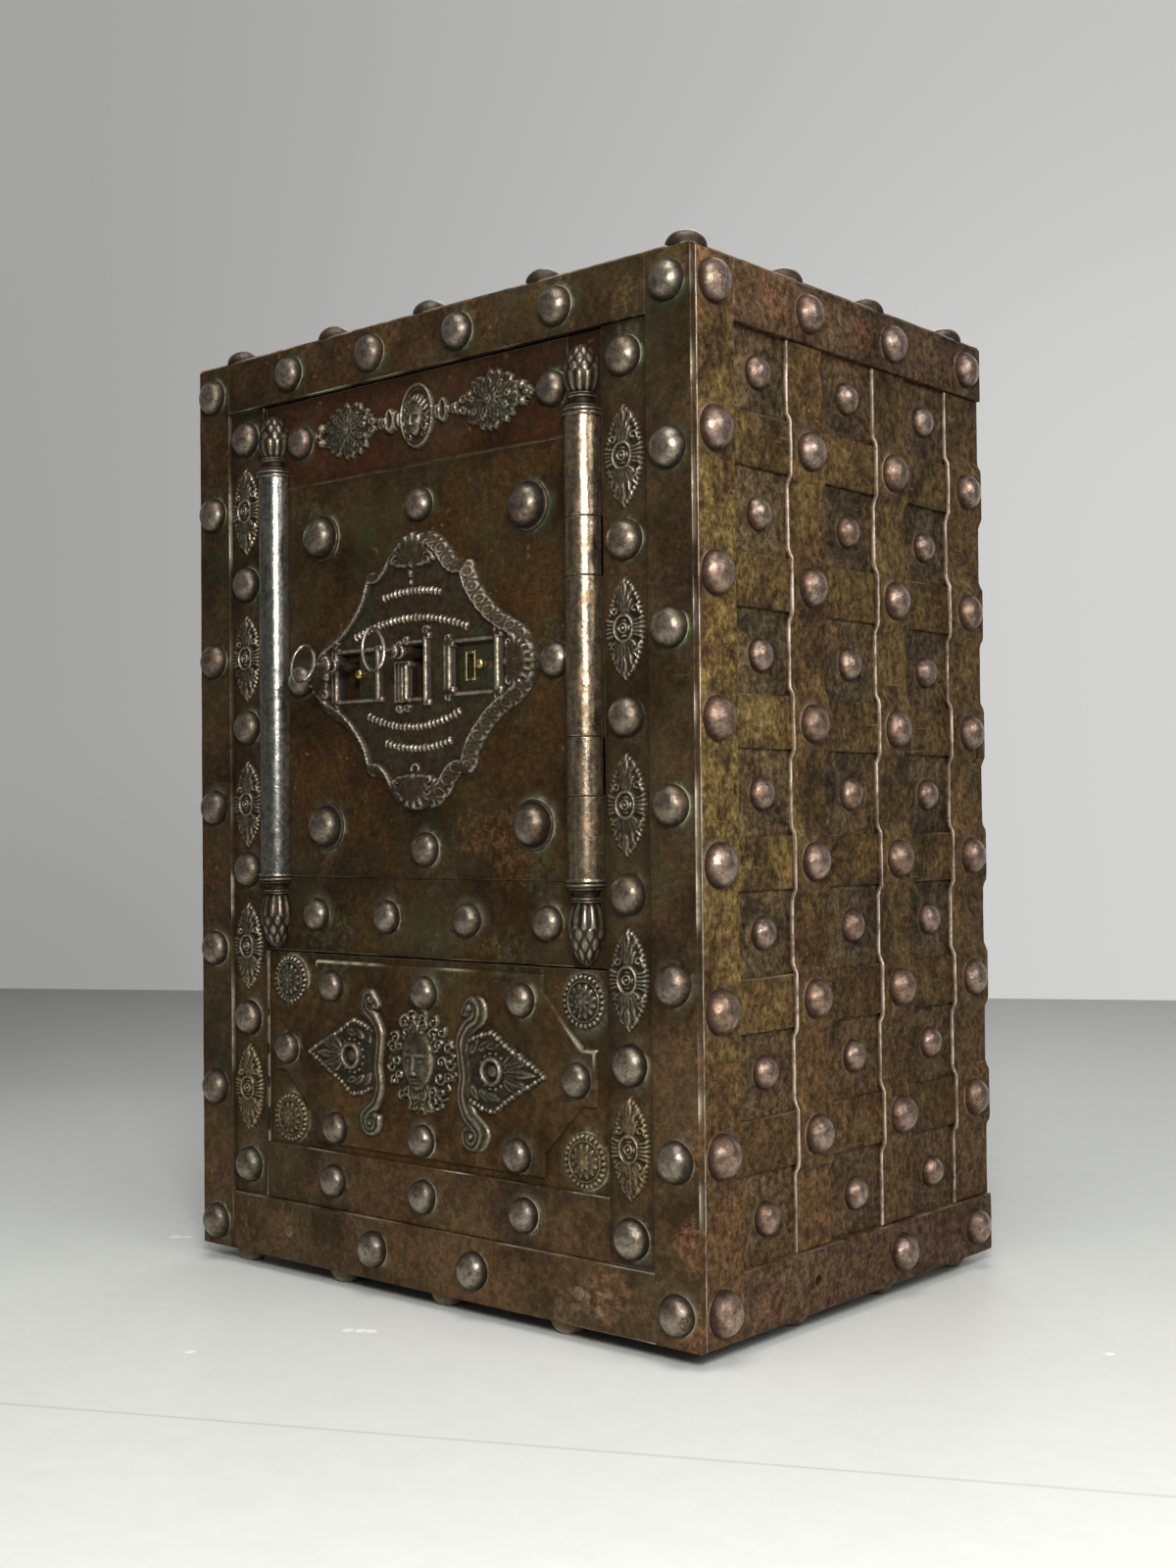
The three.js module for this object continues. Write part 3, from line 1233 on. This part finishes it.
function notch(side, keyX, barZ, span) {
  const xs = [keyX - side * span[0], keyX - side * span[1]];
  return block(xs, [boltFrontY - overrun, boltBackY + overrun], [barZ - overrun, barZ + bitBite + runGap]);
}

function mainBolt() {
  const span = notchSpan(centreBitReach, 0);
  const barEndX = centreKeyOffset + span[1] + barTail;
  const bar = block([-carriageX - carriageWidth, barEndX], [boltFrontY, boltBackY],
    [mainBarZ, mainBarZ + mainBarHeight]);
  const carriageXs = [-carriageX - carriageWidth, -carriageX];
  const carriage = block(carriageXs, [carriageFrontY, carriageBackY],
    [boltHeadZs[0] - carriageOver, boltHeadZs[1] + carriageOver]);
  const tie = block(carriageXs, [boltFrontY, carriageBackY], [mainBarZ, mainBarZ + mainBarHeight]);
  const heads = boltHeadZs.flatMap((z) => {
    const zs = [z - boltHeadHeight / 2, z + boltHeadHeight / 2];
    return [block([-boltTipX, -carriageX], [boltFrontY, boltBackY], zs),
      block(carriageXs, [boltFrontY, carriageBackY], zs)];
  });
  return cut(fuse(bar, carriage, tie, heads), notch(-1, centreKeyOffset, mainBarZ, span));
}

function sideBolt(side, keyX, barZ, startAngle) {
  const span = notchSpan(sideBitReach, startAngle);
  const tailX = keyX - side * (span[1] + barTail);
  const bar = block([tailX, side * boltTipX], [boltFrontY, boltBackY], [barZ, barZ + sideBarHeight]);
  return cut(bar, notch(side, keyX, barZ, span));
}

// Assembly

const strongbox = new THREE.Group();
const body = new THREE.Group();
body.position.set(0, 0, footHeight);
strongbox.add(body);
const door = new THREE.Group();
body.add(door);

piece(body, 'bottom_plate', 'darkIron', bottomPlate());
piece(body, 'top_plate', 'iron', topPlate());
piece(body, 'back_plate', 'iron', backPlateWithStraps());
for (const [word, side, stileShares, innerShares, lozengeShares, mortises] of [
  ['left', -1, leftStileShares, leftInnerStudShares, leftLozengeShares, leftMortises],
  ['right', 1, rightStileShares, rightInnerStudShares, rightLozengeShares, rightMortises],
]) {
  piece(body, `${word}_side_plate`, 'ochreIron', sidePlate(side, side > 0));
  const straps = [...weaveShares.map((share) => [share * halfDepth, weaveStrapWidth]), [backStrapY, backStrapWidth]];
  straps.forEach(([y, width], i) => {
    piece(body, `${word}_woven_strap_${i + 1}`, 'ochreIron', wovenStrap(side, y, width));
  });
  piece(body, `front_${word}_stile`, 'iron', outerStile(side, stileShares));
  piece(body, `inner_${word}_stile`, 'iron', innerStile(side, innerShares, lozengeShares, mortises));
  piece(body, `lower_${word}_scroll`, 'castIron', scrollOrnament(side));
  piece(body, `oak_${word}`, 'oak', oakSide(side, mortises));
}
piece(body, 'front_top_rail', 'iron', topRail());
piece(body, 'front_bottom_rail', 'iron', bottomRail());
piece(body, 'lower_panel', 'iron', lowerPanel());
piece(body, 'lower_band', 'iron', lowerBand());
piece(body, 'lower_raised_plate', 'redIron', raisedPlate());
piece(body, 'lower_mask_ornament', 'castIron', maskOrnament());
piece(body, 'oak_top', 'oak', fuse(oakPlank(cavityTopZ, oakTopZ)));
piece(body, 'oak_bottom', 'oak', fuse(oakPlank(oakBottomZ, cavityBottomZ)));
piece(body, 'oak_back', 'oak', fuse(oakBack()));
piece(body, 'oak_front_lower', 'oak', fuse(oakFrontLower()));
piece(body, 'compartment_floor', 'oak', compartmentFloor());
piece(body, 'lid_hinge_pin', 'steel', fuse(lidPinRod(lidPinRadius, 0)));
piece(body, 'well_lid', 'oak', wellLid());
piece(body, 'lid_ring', 'steel', fuse(new THREE.TorusGeometry(ringRadius, ringWire, wireSides, ringSteps)
  .translate(0, -ringRadius, 0)), ringPlace());
piece(body, 'shelf', 'oak', fuse(shelf()));
piece(body, 'hinge_knuckle_lower', 'copperySteel', hingeKnuckle(knuckleZs[0]));
piece(body, 'hinge_knuckle_upper', 'copperySteel', hingeKnuckle(knuckleZs[1]));
piece(body, 'hinge_pin', 'steel', fuse(hingePin(hingePinRadius, 0)));

piece(door, 'door_core', 'oak', doorCore());
piece(door, 'door_header_plate', 'redIron', headerPlate());
piece(door, 'door_centre_plate', 'iron', centrePlate());
piece(door, 'door_foot_plate', 'iron', footPlate());
piece(door, 'door_back_plate', 'darkIron', doorBackPlate());
for (const [word, side] of sides) piece(door, `header_${word}_rosette`, 'castIron', headerRosette(side));
piece(door, 'header_medallion', 'castIron', headMedallion());
piece(door, 'lock_cartouche', 'castIron', cartouche());
piece(door, 'left_column', 'steel', leftColumn());
const segments = columnSegments();
piece(door, 'right_column_lower', 'copperySteel', segments.lower);
piece(door, 'right_column_middle', 'copperySteel', segments.middle);
piece(door, 'right_column_upper', 'copperySteel', segments.upper);
piece(door, 'lock_case', 'darkIron', lockCase());
piece(door, 'lock_cover', 'darkIron', lockCover());
piece(door, 'left_shutter', 'paleIron', leftShutter());
piece(door, 'right_shutter', 'paleIron', rightShutter());
piece(door, 'centre_key', 'steel', key(centreBitReach, centreBowHeight, centreBowReach),
  [centreKeyOffset, 0, centreKeyZ]);
const leftKey = piece(door, 'left_key', 'steel', key(sideBitReach, leftBowHeight, leftBowReach),
  [-leftKeyOffset, 0, leftKeyZ]);
const leftKeyAngle = THREE.MathUtils.degToRad(leftKeyLean);
leftKey.rotation.y = leftKeyAngle;
piece(door, 'main_bolt', 'steel', mainBolt());
piece(door, 'left_bolt', 'steel', sideBolt(-1, -leftKeyOffset, leftBarZ, -leftKeyAngle));
piece(door, 'right_bolt', 'steel', sideBolt(1, rightKeyOffset, rightBarZ, 0));

export default strongbox;
